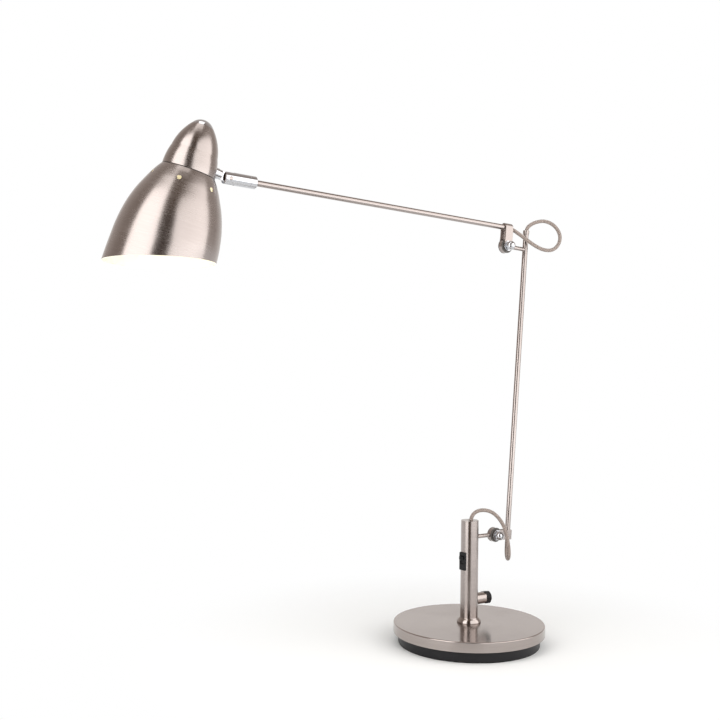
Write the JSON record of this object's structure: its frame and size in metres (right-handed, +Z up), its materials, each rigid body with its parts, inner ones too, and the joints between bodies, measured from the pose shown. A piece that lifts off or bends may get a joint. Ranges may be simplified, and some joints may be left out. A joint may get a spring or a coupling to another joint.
{
  "type": "desk lamp",
  "caption": "Adjustable desk lamp with a bell shaped metal shade, thin two-part tube arms on friction joints, free cord loops, a slide switch in the post and a weighted round base.",
  "frame": {"origin": "centre of the base's underside, on the table", "axes": "+Z up; both arms lie in the XZ plane, with the shade towards -X and the cord inlet towards +X; the acorn nuts are on the -Y side"},
  "size_m": [0.5754, 0.18, 0.5753],
  "materials": {
    "satin_nickel": "brushed satin nickel plate",
    "chrome": "polished chrome plate",
    "shade_steel": "satin nickel outside, warm white enamel inside",
    "black_paint": "black powder coat",
    "pad_rubber": "matt black",
    "grey_iron": "as cast",
    "zinc_steel": "zinc plated",
    "black_plastic": "fine satin",
    "holder_plastic": "moulded, semi gloss",
    "washer_plastic": "plain nylon",
    "cord_braid": "braided sleeve",
    "frosted_glass": "frosted, lit",
    "screw_brass": "plain"
  },
  "bodies": {
    "base": {"base_cover": "satin_nickel", "base_weight": "grey_iron", "base_tray": "black_paint", "foot_pad": "pad_rubber", "tray_screws": "zinc_steel", "base_rod": "zinc_steel", "base_washer": "zinc_steel", "base_nut": "zinc_steel", "post_tube": "satin_nickel", "post_collar": "satin_nickel", "post_insert": "zinc_steel", "post_cap": "satin_nickel", "post_stub": "satin_nickel", "switch_body": "black_plastic", "gland_nipple": "satin_nickel", "gland_nut": "black_plastic", "lower_loop_cord": "cord_braid"},
    "switch_slider": {"switch_slider": "black_plastic"},
    "lower_arm": {"lower_strap": "satin_nickel", "lower_pivot_bolt": "chrome", "lower_acorn_nut": "chrome", "lower_washers": "washer_plastic", "lower_arm_tube": "satin_nickel", "lower_arm_bush": "satin_nickel", "elbow_stub": "satin_nickel", "elbow_loop_cord": "cord_braid"},
    "upper_arm": {"elbow_strap": "satin_nickel", "elbow_bolt": "chrome", "elbow_acorn_nut": "chrome", "elbow_washers": "washer_plastic", "upper_arm_tube": "satin_nickel", "swivel_collar": "chrome"},
    "knuckle": {"knuckle_body": "chrome", "knuckle_pin": "chrome"},
    "head": {"head_stud": "chrome", "stud_collar": "chrome", "stud_nut": "zinc_steel", "cup": "satin_nickel", "finial": "chrome", "head_nipple": "zinc_steel", "holder_body": "holder_plastic", "holder_ring": "holder_plastic", "holder_cap": "holder_plastic", "shade": "shade_steel", "bulb_glass": "frosted_glass", "bulb_base": "screw_brass"}
  },
  "joints": [
    {"name": "switch_slide", "type": "slide", "parent": "base", "child": "switch_slider", "axis": [0, 0, 1], "range_m": [-0.005, 0]},
    {"name": "lower_pivot", "type": "hinge", "parent": "base", "child": "lower_arm", "pos_m": [0.0383, 0, 0.1262], "axis": [0, 1, 0], "range_deg": [-35, 35], "deforming": ["lower_loop_cord"]},
    {"name": "elbow_pivot", "type": "hinge", "parent": "lower_arm", "child": "upper_arm", "pos_m": [0.05091, 0, 0.47801], "axis": [0, 1, 0], "range_deg": [-45, 50], "deforming": ["elbow_loop_cord"]},
    {"name": "shade_swivel", "type": "hinge", "parent": "upper_arm", "child": "knuckle", "pos_m": [-0.32199, 0, 0.5212], "axis": [-0.9985, 0, 0.0548], "range_deg": [-160, 160]},
    {"name": "shade_tilt", "type": "hinge", "parent": "knuckle", "child": "head", "pos_m": [-0.32199, 0, 0.5212], "axis": [0.0086, 0.9877, 0.1562], "range_deg": [-80, 80]}
  ]
}
